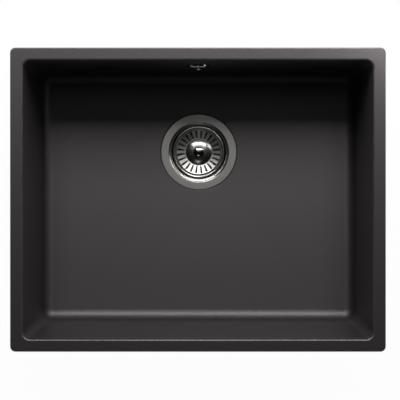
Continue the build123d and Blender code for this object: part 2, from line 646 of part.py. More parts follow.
def overflow_housing():
    """Slim moulded box behind the wall: spoked mouth, nut hub and a socket for the duct."""
    depth = housing_back_depth - housing_front_depth
    box = extrude(housing_outline(housing_radius, HOUSING_LENGTH), depth)
    box = fillet(box.edges().group_by(Axis.Z)[-1].filter_by(GeomType.CIRCLE), HOUSING_EDGE_RADIUS)
    hollow = extrude(
        housing_outline(housing_radius - HOUSING_WALL, HOUSING_LENGTH - HOUSING_WALL),
        depth - HOUSING_FRONT - HOUSING_WALL,
    )
    box -= Pos(0, 0, HOUSING_FRONT) * hollow
    box -= disc(housing_mouth_radius, 0, HOUSING_FRONT)
    spoke_length = (housing_mouth_radius + housing_radius) / 2
    spoke = Pos(spoke_length / 2, 0, HOUSING_FRONT / 2) * Box(
        spoke_length, HOUSING_SPOKE_WIDTH, HOUSING_FRONT
    )
    hub = disc(HOUSING_HUB_RADIUS, 0, HOUSING_HUB_DEPTH)
    hub += around(HOUSING_SPOKE_COUNT, spoke, 90)
    hub -= disc(OVERFLOW_SCREW_RADIUS + SCREW_CLEARANCE, 0, HOUSING_HUB_DEPTH)
    hub -= hexagon(
        OVERFLOW_NUT_FLATS + 2 * NUT_CLEARANCE,
        HOUSING_HUB_DEPTH - OVERFLOW_NUT_HEIGHT,
        OVERFLOW_NUT_HEIGHT,
    )
    housing = at_overflow(Pos(0, 0, housing_front_depth) * (box + hub))
    housing += duct_prism(
        upper_duct_plane, duct_socket_growth, -HOUSING_WALL, HOUSING_WALL + DUCT_SOCKET_DEPTH
    )
    housing -= duct_prism(upper_duct_plane, DUCT_SEAL_THICKNESS, 0, DUCT_SOCKET_DEPTH)
    housing -= duct_prism(upper_duct_plane, -DUCT_WALL, -HOUSING_WALL, HOUSING_WALL)
    return housing


def overflow_nut():
    """Brass nut held in the overflow housing's hub."""
    nut_z = housing_hub_end - OVERFLOW_NUT_HEIGHT
    nut = hexagon(OVERFLOW_NUT_FLATS, nut_z, OVERFLOW_NUT_HEIGHT)
    nut -= disc(OVERFLOW_SCREW_RADIUS + THREAD_CLEARANCE, nut_z, OVERFLOW_NUT_HEIGHT)
    return at_overflow(nut)


def overflow_duct():
    """Flat duct down the back wall and under the bowl to the waste body's inlet."""
    start = upper_shoulder + down_wall * DUCT_END_GAP
    corner = start + down_wall * ((inlet_z - start.Z) / down_wall.Z)
    route = Plane.YZ * FilletPolyline(
        (start.Y, start.Z),
        (corner.Y, inlet_z),
        (inlet_shoulder_y + DUCT_END_GAP, inlet_z),
        radius=DUCT_BEND_RADIUS,
    )
    outside = RectangleRounded(DUCT_WIDTH, DUCT_THICKNESS, DUCT_CORNER_RADIUS)
    inside = RectangleRounded(
        DUCT_WIDTH - 2 * DUCT_WALL,
        DUCT_THICKNESS - 2 * DUCT_WALL,
        DUCT_CORNER_RADIUS - DUCT_WALL,
    )
    section_plane = Plane(origin=route @ 0, x_dir=(1, 0, 0), z_dir=route % 0)
    return sweep(section_plane * (outside - inside), path=route)


def duct_seal(plane):
    """Rubber sleeve that fills a duct socket round the duct's end, flush with the socket's mouth."""
    start = DUCT_SOCKET_DEPTH - DUCT_SEAL_HEIGHT
    sleeve = duct_prism(plane, DUCT_SEAL_THICKNESS, start, DUCT_SEAL_HEIGHT)
    return sleeve - duct_prism(plane, 0, start, DUCT_SEAL_HEIGHT)


def upper_duct_seal():
    """Sleeve in the overflow housing's socket."""
    return duct_seal(upper_duct_plane)


def lower_duct_seal():
    """Sleeve in the waste body's inlet."""
    return duct_seal(lower_duct_plane)


PIECES = (
    sink_bowl,
    waste_flange,
    flange_gasket,
    lower_seal,
    waste_body,
    clamp_screw,
    clamp_washer,
    clamp_nut,
    strainer_basket,
    basket_knob,
    basket_post,
    stopper,
    stopper_washer,
    catch_clip,
    overflow_rosette,
    overflow_screw,
    overflow_gasket,
    overflow_housing,
    overflow_nut,
    overflow_duct,
    upper_duct_seal,
    lower_duct_seal,
)

os.makedirs("parts", exist_ok=True)
for make_piece in PIECES:
    export_step(make_piece(), f"parts/{make_piece.__name__}.step")
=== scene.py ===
"""Looks for a moulded resin kitchen sink with its basket waste and slim overflow."""

import json
import math

import bpy
import numpy as np
from bpy.props import FloatProperty, FloatVectorProperty, PointerProperty
from bpy.types import Operator, Panel, PropertyGroup
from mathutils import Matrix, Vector


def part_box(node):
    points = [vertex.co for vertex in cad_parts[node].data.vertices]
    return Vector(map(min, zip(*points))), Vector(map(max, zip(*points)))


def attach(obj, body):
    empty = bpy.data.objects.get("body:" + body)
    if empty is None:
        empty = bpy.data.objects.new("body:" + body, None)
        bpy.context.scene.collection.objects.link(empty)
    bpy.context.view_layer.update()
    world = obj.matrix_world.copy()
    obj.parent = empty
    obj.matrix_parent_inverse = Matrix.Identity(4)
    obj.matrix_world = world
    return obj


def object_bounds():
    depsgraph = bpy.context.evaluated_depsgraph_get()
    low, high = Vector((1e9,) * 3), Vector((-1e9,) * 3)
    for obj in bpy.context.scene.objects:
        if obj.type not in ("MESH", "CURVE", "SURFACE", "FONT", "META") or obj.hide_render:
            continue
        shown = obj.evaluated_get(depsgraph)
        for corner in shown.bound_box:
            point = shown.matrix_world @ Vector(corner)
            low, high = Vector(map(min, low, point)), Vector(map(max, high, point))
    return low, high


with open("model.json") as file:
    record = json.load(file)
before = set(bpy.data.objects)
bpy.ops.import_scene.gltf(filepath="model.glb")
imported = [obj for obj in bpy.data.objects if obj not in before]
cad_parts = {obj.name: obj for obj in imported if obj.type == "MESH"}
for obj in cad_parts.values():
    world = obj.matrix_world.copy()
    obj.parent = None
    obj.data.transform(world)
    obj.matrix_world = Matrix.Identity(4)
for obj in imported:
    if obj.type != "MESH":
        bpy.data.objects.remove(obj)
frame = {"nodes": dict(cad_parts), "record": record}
cad_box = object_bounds()

bl_info = {
    "name": "Resin Sink Looks",
    "version": (1, 0, 0),
    "blender": (4, 5, 0),
    "location": "View3D > Sidebar > Sink",
    "description": "Finishes, outlet thread and studio for a moulded resin sink",
    "category": "Object",
}

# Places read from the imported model
flange_low, flange_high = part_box("waste_flange")
rosette_low, rosette_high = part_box("overflow_rosette")
rim_low, rim_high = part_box("sink_bowl")
drain_place = (flange_low + flange_high) / 2
outlet_mount = next(m for m in frame["record"]["mounts"] if m["name"] == "waste_outlet")
outlet_radius = outlet_mount["dims"]["r_mm"] / 1000
outlet_length = outlet_mount["dims"]["length_mm"] / 1000
outlet_middle = Vector(outlet_mount["pos_m"])

# Where one finish of the resin passes into the next, in metres
HALF_FLOOR = 0.005  # from the bowl's underside up to the middle of its floor
RIM_FOOT = -0.009  # height, just above the rim's underside, below which the back is raw
RESIN_BLEND = 0.0005  # half the width over which the show face passes into the raw back
GROUND_START = 0.0008  # below the rim's top, where the ground finish starts
GROUND_FULL = 0.0002  # below the rim's top, where the ground finish is full

# Pattern of the grain
MOTTLE_SCALE = 0.01  # scale of the wide mottle, as a share of the grain's
NOISE_MIDDLE = (0.3, 0.7)  # values between which a noise mostly stays
FLECK_CHANCE = (0.80, 0.92)  # cells above these values are flecks
FLECK_EDGE = (0.25, 0.5)  # distance from a cell's middle over which a fleck fades
CELL_HEIGHT = -0.5  # height that a cell loses towards its edge

# Fine look of the resin
RESIN_SHADES = (0.9, 1.08)  # darkest and palest shade between the grains
RAW_SHADES = (1.1, 1.5)  # darkest and palest shade of the raw back
FLECK_SHARE = 0.6  # how far a fleck takes the grain's own colour
RESIN_ROUGH_SPREAD = 0.04
RESIN_SPECULAR = 1.0
RESIN_TINT = (1.0, 0.92, 0.95, 1.0)
RESIN_RELIEF = 0.12
RESIN_RELIEF_DEPTH = 0.0002
COARSE_SCALE = 0.3  # scale of the raw back's grain, as a share of the fine grain's
COARSE_DEPTH = 3.0  # depth of the raw back's grain, in depths of the fine grain

# Fine look of turned metal
METAL_SHADES = (0.94, 1.0)  # darkest and palest shade of the turning marks
METAL_ROUGH_SHARE = 0.15  # how far the marks vary the roughness, as a share of it
METAL_RELIEF = 0.05
METAL_RELIEF_DEPTH = 0.00005
METAL_BLEND = 0.0003  # half the width over which one finish passes into the next

# Fine look of moulded plastic and rubber
MOULDED_SHADES = (0.94, 1.08)  # darkest and palest shade of the mottle
MOULDED_ROUGH_SPREAD = 0.05
MOULDED_RELIEF_DEPTH = 0.0001

# Section of the outlet's thread, in thread heights outwards and in pitches upwards
THREAD_OUT = (-0.25, 0.55, 0.92, 1.0, 0.92, 0.55, -0.25)
THREAD_UP = (-0.40, -0.24, -0.15, 0.0, 0.15, 0.24, 0.40)
THREAD_STEPS = 96  # stations in one turn
THREAD_LEAST = 0.02  # share of the height that is left at the thread's two ends

# Fixed parts of the studio, in metres
SENSOR_WIDTH = 36.0  # of the camera, in millimetres
LAMP_AIM = (0.0, 0.0, -0.1)
FILL_AIM = (0.0, 0.0, -0.16)
FILL_PLACES = {
    "fill_left": (-1.3, -0.9, -0.05),
    "fill_right": (1.3, -0.9, -0.05),
    "fill_back": (0.3, 1.5, -0.05),
}
PAPER_RADIUS = 7.0
PAPER_BEND = 1.5
PAPER_RISE = 2.0
PAPER_RINGS = (0.002, 0.4, 1.0, 2.0)  # radii of the rings on the flat floor
PAPER_BEND_STEPS = 13
PAPER_SIDES = 96
PAPER_WHITE = 0.97  # share of plain white that the camera and reflections see


class ResinSettings(PropertyGroup):
    """Finish of the moulded bowl."""

    colour: FloatVectorProperty(
        name="Resin Colour",
        description="Colour between the mineral grains",
        subtype="COLOR",
        size=3,
        min=0.0,
        max=1.0,
        default=(0.0090, 0.0081, 0.0084),
    )
    grain_colour: FloatVectorProperty(
        name="Grain Colour",
        description="Colour of the paler mineral grains",
        subtype="COLOR",
        size=3,
        min=0.0,
        max=1.0,
        default=(0.0165, 0.0150, 0.0155),
    )
    grain_size: FloatProperty(
        name="Grain Size",
        description="Width of one mineral grain",
        subtype="DISTANCE",
        unit="LENGTH",
        min=0.0001,
        default=0.0008,
    )
    roughness: FloatProperty(
        name="Face Roughness",
        description="Roughness of the moulded show faces",
        subtype="FACTOR",
        min=0.0,
        max=1.0,
        default=0.52,
    )
    rim_roughness: FloatProperty(
        name="Rim Roughness",
        description="Roughness of the rim's flat top, which is ground smooth",
        subtype="FACTOR",
        min=0.0,
        max=1.0,
        default=0.42,
    )
    back_roughness: FloatProperty(
        name="Back Roughness",
        description="Roughness of the raw cast back of the bowl",
        subtype="FACTOR",
        min=0.0,
        max=1.0,
        default=0.85,
    )
    wall_slope: FloatProperty(
        name="Wall Draft",
        description="Draft of the walls, used to tell the raw back from the show face",
        subtype="ANGLE",
        unit="ROTATION",
        default=math.radians(3.6),
    )
    wall_inset: FloatProperty(
        name="Wall Inset",
        description="From the rim's edge in to the middle of the wall",
        subtype="DISTANCE",
        unit="LENGTH",
        default=0.0135,
    )


class SteelSettings(PropertyGroup):
    """Finish of the steel and chrome pieces."""

    colour: FloatVectorProperty(
        name="Steel Colour",
        description="Colour of the stainless steel",
        subtype="COLOR",
        size=3,
        min=0.0,
        max=1.0,
        default=(0.46, 0.455, 0.435),
    )
    satin_roughness: FloatProperty(
        name="Satin Roughness",
        description="Roughness of the flange's flat ring",
        subtype="FACTOR",
        min=0.0,
        max=1.0,
        default=0.34,
    )
    polished_roughness: FloatProperty(
        name="Polished Roughness",
        description="Roughness of the basket's dome and rim and of the flange's bevel",
        subtype="FACTOR",
        min=0.0,
        max=1.0,
        default=0.22,
    )
    brushed_roughness: FloatProperty(
        name="Brushed Roughness",
        description="Roughness of the basket's slotted cone",
        subtype="FACTOR",
        min=0.0,
        max=1.0,
        default=0.40,
    )
    dome_radius: FloatProperty(
        name="Dome Radius",
        description="Radius where the basket's polished dome ends and the brushed cone starts",
        subtype="DISTANCE",
        unit="LENGTH",
        default=0.0200,
    )
    cone_radius: FloatProperty(
        name="Cone Radius",
        description="Radius where the basket's brushed cone ends and its polished rim starts",
        subtype="DISTANCE",
        unit="LENGTH",
        default=0.0325,
    )
    bevel_radius: FloatProperty(
        name="Bevel Radius",
        description="Radius where the satin ring ends and the polished bevel starts",
        subtype="DISTANCE",
        unit="LENGTH",
        default=0.0455,
    )
    cup_radius: FloatProperty(
        name="Cup Radius",
        description="Radius where the polished bevel ends and the cup's wall starts",
        subtype="DISTANCE",
        unit="LENGTH",
        default=0.0407,
    )
    groove_depth: FloatProperty(
        name="Groove Depth",
        description="Depth of the shallow rolled groove round the polished bevel",
        subtype="DISTANCE",
        unit="LENGTH",
        default=0.0005,
    )
    mark_pitch: FloatProperty(
        name="Turning Mark Pitch",
        description="Distance between the fine marks left by turning and brushing",
        subtype="DISTANCE",
        unit="LENGTH",
        min=0.00005,
        default=0.0004,
    )
    brass_colour: FloatVectorProperty(
        name="Brass Colour",
        description="Colour of the brass nuts",
        subtype="COLOR",
        size=3,
        min=0.0,
        max=1.0,
        default=(0.62, 0.44, 0.19),
    )


class FittingSettings(PropertyGroup):
    """Finish of the plastic and rubber fittings, and the outlet's thread."""

    plastic_colour: FloatVectorProperty(
        name="Plastic Colour",
        description="Colour of the moulded waste body, overflow housing and duct",
        subtype="COLOR",
        size=3,
        min=0.0,
        max=1.0,
        default=(0.30, 0.305, 0.315),
    )
    rubber_colour: FloatVectorProperty(
        name="Rubber Colour",
        description="Colour of the seals and the stopper",
        subtype="COLOR",
        size=3,
        min=0.0,
        max=1.0,
        default=(0.018, 0.018, 0.019),
    )
    thread_pitch: FloatProperty(
        name="Thread Pitch",
        description="Distance between two turns of the outlet's thread",
        subtype="DISTANCE",
        unit="LENGTH",
        min=0.001,
        default=0.002309,
    )
    thread_height: FloatProperty(
        name="Thread Height",
        description="How far the thread stands proud of the outlet",
        subtype="DISTANCE",
        unit="LENGTH",
        min=0.0001,
        default=0.0006,
    )


class StudioSettings(PropertyGroup):
    """Camera, lamps and floor."""

    camera_place: FloatVectorProperty(
        name="Camera Place",
        description="Where the camera stands above the rim",
        subtype="TRANSLATION",
        unit="LENGTH",
        size=3,
        default=(0.016, 0.049, 2.5),
    )
    camera_lens: FloatProperty(
        name="Camera Lens",
        description="Focal length in millimetres",
        default=161.1,
    )
    rim_centre: FloatVectorProperty(
        name="Rim Centre",
        description="Pixel of the picture, across and down, on which the rim's centre falls",
        size=2,
        default=(197.94, 199.7),
    )
    picture_size: FloatProperty(
        name="Picture Size",
        description="Width and height of the picture in pixels",
        default=400.0,
    )
    key_place: FloatVectorProperty(
        name="Key Lamp Place",
        description="Where the main soft lamp stands, high behind the sink",
        subtype="TRANSLATION",
        unit="LENGTH",
        size=3,
        default=(0.02, 1.11, 1.40),
    )
    key_power: FloatProperty(
        name="Key Lamp Power",
        description="Power of the main soft lamp",
        unit="POWER",
        default=35.0,
    )
    key_size: FloatVectorProperty(
        name="Key Lamp Size",
        description="Width and height of the main soft lamp",
        subtype="XYZ_LENGTH",
        unit="LENGTH",
        size=2,
        default=(1.4, 0.65),
    )
    top_place: FloatVectorProperty(
        name="Top Lamp Place",
        description="Where the weak lamp stands, above the back rim",
        subtype="TRANSLATION",
        unit="LENGTH",
        size=3,
        default=(0.0, 0.56, 1.72),
    )
    top_power: FloatProperty(
        name="Top Lamp Power",
        description="Power of the weak lamp that softens the back wall's shadow",
        unit="POWER",
        default=0.85,
    )
    top_size: FloatVectorProperty(
        name="Top Lamp Size",
        description="Width and height of the weak top lamp",
        subtype="XYZ_LENGTH",
        unit="LENGTH",
        size=2,
        default=(1.2, 0.3),
    )
    rim_place: FloatVectorProperty(
        name="Rim Lamp Place",
        description="Where the low strip lamp stands, close behind the back rim",
        subtype="TRANSLATION",
        unit="LENGTH",
        size=3,
        default=(0.16, 0.31, 0.11),
    )
    rim_power: FloatProperty(
        name="Rim Lamp Power",
        description="Power of the low strip lamp",
        unit="POWER",
        default=0.85,
    )
    rim_size: FloatVectorProperty(
        name="Rim Lamp Size",
        description="Width and height of the low strip lamp",
        subtype="XYZ_LENGTH",
        unit="LENGTH",
        size=2,
        default=(0.7, 0.06),
    )
    front_place: FloatVectorProperty(
        name="Front Lamp Place",
        description="Where the small weak lamp stands, high in front of the sink",
        subtype="TRANSLATION",
        unit="LENGTH",
        size=3,
        default=(-0.10, -0.95, 1.45),
    )
    front_power: FloatProperty(
        name="Front Lamp Power",
        description="Power of the small weak lamp that the steel and the overflow's chrome catch",
        unit="POWER",
        default=0.4,
    )
    front_size: FloatVectorProperty(
        name="Front Lamp Size",
        description="Width and height of the front lamp",
        subtype="XYZ_LENGTH",
        unit="LENGTH",
        size=2,
        default=(0.35, 0.25),
    )
    fill_power: FloatProperty(
        name="Fill Lamp Power",
        description="Power of each low lamp that lights the outside of the bowl",
        unit="POWER",
        default=4.0,
    )
    fill_size: FloatVectorProperty(
        name="Fill Lamp Size",
        description="Width and height of each low lamp",
        subtype="XYZ_LENGTH",
        unit="LENGTH",
        size=2,
        default=(0.9, 0.35),
    )
    ceiling: FloatProperty(
        name="Ceiling Light",
        description="Brightness of the dim ceiling",
        min=0.0,
        default=0.004,
    )
    floor_colour: FloatVectorProperty(
        name="Floor Colour",
        description="Colour of the floor and the backdrop",
        subtype="COLOR",
        size=3,
        min=0.0,
        max=1.0,
        default=(0.9, 0.9, 0.9),
    )


def add_node(tree, kind, settings=None, inputs=None):
    """Adds a shader node, sets its own settings, then fills or links its inputs."""
    node = tree.nodes.new(kind)
    for name, value in (settings or {}).items():
        setattr(node, name, value)
    for name, value in (inputs or {}).items():
        if isinstance(value, bpy.types.NodeSocket):
            tree.links.new(value, node.inputs[name])
        else:
            node.inputs[name].default_value = value
    return node


def math_node(tree, operation, first, second=0.0, third=0.0):
    """Adds a Math node and returns its value."""
    settings = {"operation": operation}
    return add_node(tree, "ShaderNodeMath", settings, {0: first, 1: second, 2: third}).outputs[0]


def map_range(tree, value, from_low, from_high, to_low, to_high):
    """Adds a clamped Map Range node and returns its result."""
    inputs = {
        "Value": value,
        "From Min": from_low,
        "From Max": from_high,
        "To Min": to_low,
        "To Max": to_high,
    }
    return add_node(tree, "ShaderNodeMapRange", None, inputs).outputs["Result"]


def stretch(tree, noise):
    """Spreads the values between which a noise mostly stays over 0 to 1."""
    return map_range(tree, noise, *NOISE_MIDDLE, 0.0, 1.0)


def mix_colour(tree, factor, first, second):
    """Adds a Mix node for colours and returns its result."""
    node = add_node(tree, "ShaderNodeMix", {"data_type": "RGBA"}, {0: factor})
    for index, value in ((6, first), (7, second)):
        if isinstance(value, bpy.types.NodeSocket):
            tree.links.new(value, node.inputs[index])
        else:
            node.inputs[index].default_value = (*value, 1.0)
    return node.outputs[2]


def shade(colour, share):
    """Colour made darker or paler by a share, and white at most."""
    return [min(1.0, share * c) for c in colour]


def mix_shades(tree, factor, colour, shades):
    """Mixes two shades of one colour and returns the result."""
    dark, pale = shades
    return mix_colour(tree, factor, shade(colour, dark), shade(colour, pale))


def new_group(name, inputs, outputs):
    """Starts a shader node group with named sockets; returns its tree, input node and output node."""
    tree = bpy.data.node_groups.new(name, "ShaderNodeTree")
    for socket, kind in inputs:
        tree.interface.new_socket(socket, in_out="INPUT", socket_type=kind)
    for socket in outputs:
        tree.interface.new_socket(socket, in_out="OUTPUT", socket_type="NodeSocketFloat")
    return tree, tree.nodes.new("NodeGroupInput"), tree.nodes.new("NodeGroupOutput")


def fine_grain_group():
    """Grain of filled resin, moulded plastic and rubber.

    Shade is a noise of about the asked scale, Fleck picks a few cells of a cell pattern,
    Mottle is a noise a hundred times wider, and Height joins the noise and the cells' distance.
    """
    name = "fine_grain"
    if name in bpy.data.node_groups:
        return bpy.data.node_groups[name]
    sockets = [("Vector", "NodeSocketVector"), ("Scale", "NodeSocketFloat")]
    tree, start, end = new_group(name, sockets, ["Shade", "Fleck", "Mottle", "Height"])
    vector = start.outputs["Vector"]
    scale = start.outputs["Scale"]
    fine = {"Vector": vector, "Scale": scale, "Detail": 2.0, "Roughness": 0.6}
    noise = add_node(tree, "ShaderNodeTexNoise", None, fine).outputs["Fac"]
    cells = add_node(tree, "ShaderNodeTexVoronoi", None, {"Vector": vector, "Scale": scale}).outputs
    wide_scale = math_node(tree, "MULTIPLY", scale, MOTTLE_SCALE)
    wide = {"Vector": vector, "Scale": wide_scale, "Detail": 3.0}
    mottle = add_node(tree, "ShaderNodeTexNoise", None, wide).outputs["Fac"]
    chance = add_node(tree, "ShaderNodeSeparateColor", None, {"Color": cells["Color"]}).outputs["Red"]
    picked = map_range(tree, chance, *FLECK_CHANCE, 0.0, 1.0)
    middle = map_range(tree, cells["Distance"], *FLECK_EDGE, 1.0, 0.0)
    height = math_node(tree, "MULTIPLY_ADD", cells["Distance"], CELL_HEIGHT, noise)
    tree.links.new(stretch(tree, noise), end.inputs["Shade"])
    tree.links.new(math_node(tree, "MULTIPLY", picked, middle), end.inputs["Fleck"])
    tree.links.new(stretch(tree, mottle), end.inputs["Mottle"])
    tree.links.new(height, end.inputs["Height"])
    return tree


def turned_marks_group():
    """Fine rings that turning or brushing leaves round an axis.

    Radius is the distance from the Z axis of the given vector; Shade and Height are a noise of that radius
    divided by the pitch, so every mark runs round in a circle.
    """
    name = "turned_marks"
    if name in bpy.data.node_groups:
        return bpy.data.node_groups[name]
    sockets = [("Vector", "NodeSocketVector"), ("Pitch", "NodeSocketFloat")]
    tree, start, end = new_group(name, sockets, ["Radius", "Shade", "Height"])
    flatten = {0: start.outputs["Vector"], 1: (1.0, 1.0, 0.0)}
    flat = add_node(tree, "ShaderNodeVectorMath", {"operation": "MULTIPLY"}, flatten).outputs["Vector"]
    radius = add_node(tree, "ShaderNodeVectorMath", {"operation": "LENGTH"}, {0: flat}).outputs["Value"]
    step = math_node(tree, "DIVIDE", radius, start.outputs["Pitch"])
    ring_noise = {"W": step, "Scale": 1.0, "Detail": 3.0, "Roughness": 0.65}
    rings = add_node(tree, "ShaderNodeTexNoise", {"noise_dimensions": "1D"}, ring_noise).outputs["Fac"]
    tree.links.new(radius, end.inputs["Radius"])
    tree.links.new(stretch(tree, rings), end.inputs["Shade"])
    tree.links.new(rings, end.inputs["Height"])
    return tree


def new_material(name):
    """Empty node material with a Principled BSDF; returns material, tree, shader and object coordinates."""
    material = bpy.data.materials.new(name)
    material.use_nodes = True
    tree = material.node_tree
    shader = tree.nodes["Principled BSDF"]
    coords = add_node(tree, "ShaderNodeTexCoord").outputs["Object"]
    return material, tree, shader, coords


def place_group(tree, group, inputs):
    """Places a node group in a material and fills its inputs."""
    return add_node(tree, "ShaderNodeGroup", {"node_tree": group}, inputs).outputs


def bump(tree, shader, height, strength, distance):
    """Links a height to the shader's normal through a Bump node."""
    inputs = {"Height": height, "Strength": strength, "Distance": distance}
    normal = add_node(tree, "ShaderNodeBump", None, inputs).outputs["Normal"]
    tree.links.new(normal, shader.inputs["Normal"])


def resin_material(resin):
    """Matte filled resin: fine mineral grain on the show faces and a rougher cast back.

    A point counts as back where it lies past the middle of a drafted wall or of the floor, below the rim.
    The rim's flat top has its own ground finish.
    """
    material, tree, shader, coords = new_material("moulded_resin")
    grain = place_group(tree, fine_grain_group(), {"Vector": coords, "Scale": 1 / resin.grain_size})
    place = add_node(tree, "ShaderNodeSeparateXYZ", None, {"Vector": coords}).outputs
    slope = math.tan(resin.wall_slope)
    past_walls = []
    for axis, high in (("X", rim_high.x), ("Y", rim_high.y)):
        across = math_node(tree, "ABSOLUTE", place[axis])
        reach = math_node(tree, "MULTIPLY_ADD", place["Z"], -slope, across)
        past_walls.append(math_node(tree, "SUBTRACT", reach, high - resin.wall_inset))
    past_floor = math_node(tree, "SUBTRACT", rim_low.z + HALF_FLOOR, place["Z"])
    past = math_node(tree, "MAXIMUM", math_node(tree, "MAXIMUM", *past_walls), past_floor)
    past_middle = map_range(tree, past, -RESIN_BLEND, RESIN_BLEND, 0.0, 1.0)
    below_rim = map_range(tree, place["Z"], RIM_FOOT - RESIN_BLEND, RIM_FOOT + RESIN_BLEND, 1.0, 0.0)
    back = math_node(tree, "MULTIPLY", past_middle, below_rim)

    plain = mix_shades(tree, grain["Shade"], resin.colour, RESIN_SHADES)
    fleck = math_node(tree, "MULTIPLY", grain["Fleck"], FLECK_SHARE)
    flecked = mix_colour(tree, fleck, plain, resin.grain_colour)
    raw = mix_shades(tree, grain["Mottle"], resin.colour, RAW_SHADES)
    tree.links.new(mix_colour(tree, back, flecked, raw), shader.inputs["Base Color"])

    ground_rim = map_range(tree, place["Z"], rim_high.z - GROUND_START, rim_high.z - GROUND_FULL, 0.0, 1.0)
    middle_rough = map_range(tree, ground_rim, 0.0, 1.0, resin.roughness, resin.rim_roughness)
    grain_rough = map_range(tree, grain["Shade"], 0.0, 1.0, -RESIN_ROUGH_SPREAD, RESIN_ROUGH_SPREAD)
    face_rough = math_node(tree, "ADD", middle_rough, grain_rough)
    roughs = {0: back, 2: face_rough, 3: resin.back_roughness}
    rough = add_node(tree, "ShaderNodeMix", {"data_type": "FLOAT"}, roughs).outputs[0]
    tree.links.new(rough, shader.inputs["Roughness"])
    shader.inputs["Specular IOR Level"].default_value = RESIN_SPECULAR
    shader.inputs["Specular Tint"].default_value = RESIN_TINT

    coarse_scale = COARSE_SCALE / resin.grain_size
    coarse = place_group(tree, fine_grain_group(), {"Vector": coords, "Scale": coarse_scale})
    back_height = math_node(tree, "MULTIPLY", coarse["Height"], back)
    height = math_node(tree, "MULTIPLY_ADD", back_height, COARSE_DEPTH, grain["Height"])
    bump(tree, shader, height, RESIN_RELIEF, RESIN_RELIEF_DEPTH)
    return material


def turned_steel_material(
    name, colour, roughness, pitch, axis_place, polished=None, inner=0.0, outer=1.0, groove=None
):
    """Steel or brass with fine turning marks round an upright axis.

    Where a lower, polished roughness is given, only the band from the inner to the outer radius keeps the
    first one. A groove is given as inner radius, outer radius and depth, and is one cosine wave of the
    radius.
    """
    material, tree, shader, coords = new_material(name)
    shader.inputs["Metallic"].default_value = 1.0
    mapping = {"Vector": coords, "Location": [-value for value in axis_place]}
    centred = add_node(tree, "ShaderNodeMapping", None, mapping).outputs["Vector"]
    marks = place_group(tree, turned_marks_group(), {"Vector": centred, "Pitch": pitch})
    radius = marks["Radius"]
    tree.links.new(mix_shades(tree, marks["Shade"], colour, METAL_SHADES), shader.inputs["Base Color"])
    spread = METAL_ROUGH_SHARE * roughness
    rough = map_range(tree, marks["Shade"], 0.0, 1.0, roughness - spread, roughness + spread)
    if polished is not None:
        share = polished / roughness
        past_inner = map_range(tree, radius, inner - METAL_BLEND, inner + METAL_BLEND, share, 1.0)
        before_outer = map_range(tree, radius, outer - METAL_BLEND, outer + METAL_BLEND, 1.0, share)
        band = math_node(tree, "MINIMUM", past_inner, before_outer)
        rough = math_node(tree, "MULTIPLY", rough, band)
    tree.links.new(rough, shader.inputs["Roughness"])
    if groove is None:
        bump(tree, shader, marks["Height"], METAL_RELIEF, METAL_RELIEF_DEPTH)
    else:
        foot, edge, deep = groove
        along = map_range(tree, radius, foot, edge, 0.0, 2 * math.pi)
        wave = math_node(tree, "MULTIPLY", math_node(tree, "COSINE", along), 0.5)
        mark_share = METAL_RELIEF * METAL_RELIEF_DEPTH / deep
        height = math_node(tree, "MULTIPLY_ADD", marks["Height"], mark_share, wave)
        bump(tree, shader, height, 1.0, deep)
    return material


def moulded_material(name, colour, roughness, grain_size, relief):
    """Moulded plastic or rubber: even colour with a faint mottle and a fine grained skin."""
    material, tree, shader, coords = new_material(name)
    grain = place_group(tree, fine_grain_group(), {"Vector": coords, "Scale": 1 / grain_size})
    tree.links.new(mix_shades(tree, grain["Mottle"], colour, MOULDED_SHADES), shader.inputs["Base Color"])
    spread = MOULDED_ROUGH_SPREAD
    rough = map_range(tree, grain["Shade"], 0.0, 1.0, roughness - spread, roughness + spread)
    tree.links.new(rough, shader.inputs["Roughness"])
    bump(tree, shader, grain["Height"], relief, MOULDED_RELIEF_DEPTH)
    return material


def dress(material, *nodes):
    """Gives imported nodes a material."""
    for name in nodes:
        frame["nodes"][name].data.materials[0] = material


def grid_mesh(name, points, material, cap_end=True):
    """Mesh from a grid of points, closed round its second direction, with one or both ends capped.

    points has the shape (stations, corners, 3); quads join each station to the next.
    """
    stations, corners = points.shape[:2]
    index = np.arange(stations * corners).reshape(stations, corners)
    around = np.roll(index, -1, axis=1)
    quads = np.stack([index[:-1], around[:-1], around[1:], index[1:]], axis=-1).reshape(-1, 4)
    faces = quads.tolist() + [index[0, ::-1].tolist()]
    if cap_end:
        faces.append(index[-1].tolist())
    mesh = bpy.data.meshes.new(name)
    mesh.from_pydata(points.reshape(-1, 3), [], faces)
    mesh.materials.append(material)
    mesh.update()
    piece = bpy.data.objects.new(name, mesh)
    bpy.context.scene.collection.objects.link(piece)
    return piece


def thread_points(radius, height, pitch, low, high, middle):
    """Rounded thread ridge carried along a helix.

    At turn angle a the ridge's middle is at height low + pitch * a / (2 pi) on a cylinder of the radius.
    Its section is a rounded trapezium whose foot is sunk into the wall, and its height fades almost to
    nothing over the first and last quarter turn.
    """
    turns = (high - low) / pitch
    angle = np.linspace(0.0, 2 * math.pi * turns, int(THREAD_STEPS * turns))
    fade = np.clip(np.minimum(angle, angle[-1] - angle) / (math.pi / 2), THREAD_LEAST, 1.0)
    out = radius + height * fade[:, None] * np.array(THREAD_OUT)[None, :]
    up = low + pitch * (angle[:, None] / (2 * math.pi) + np.array(THREAD_UP)[None, :])
    x = middle.x + out * np.cos(angle)[:, None]
    y = middle.y + out * np.sin(angle)[:, None]
    return np.stack([x, y, up], axis=-1)


def area_lamp(name, place, target, power, size):
    """Soft rectangular lamp aimed at a point."""
    lamp = bpy.data.lights.new(name, "AREA")
    lamp.shape = "RECTANGLE"
    lamp.size, lamp.size_y = size
    lamp.energy = power
    piece = bpy.data.objects.new(name, lamp)
    piece.location = place
    piece.rotation_euler = (Vector(target) - Vector(place)).to_track_quat("-Z", "Y").to_euler()
    piece.visible_camera = False
    bpy.context.scene.collection.objects.link(piece)


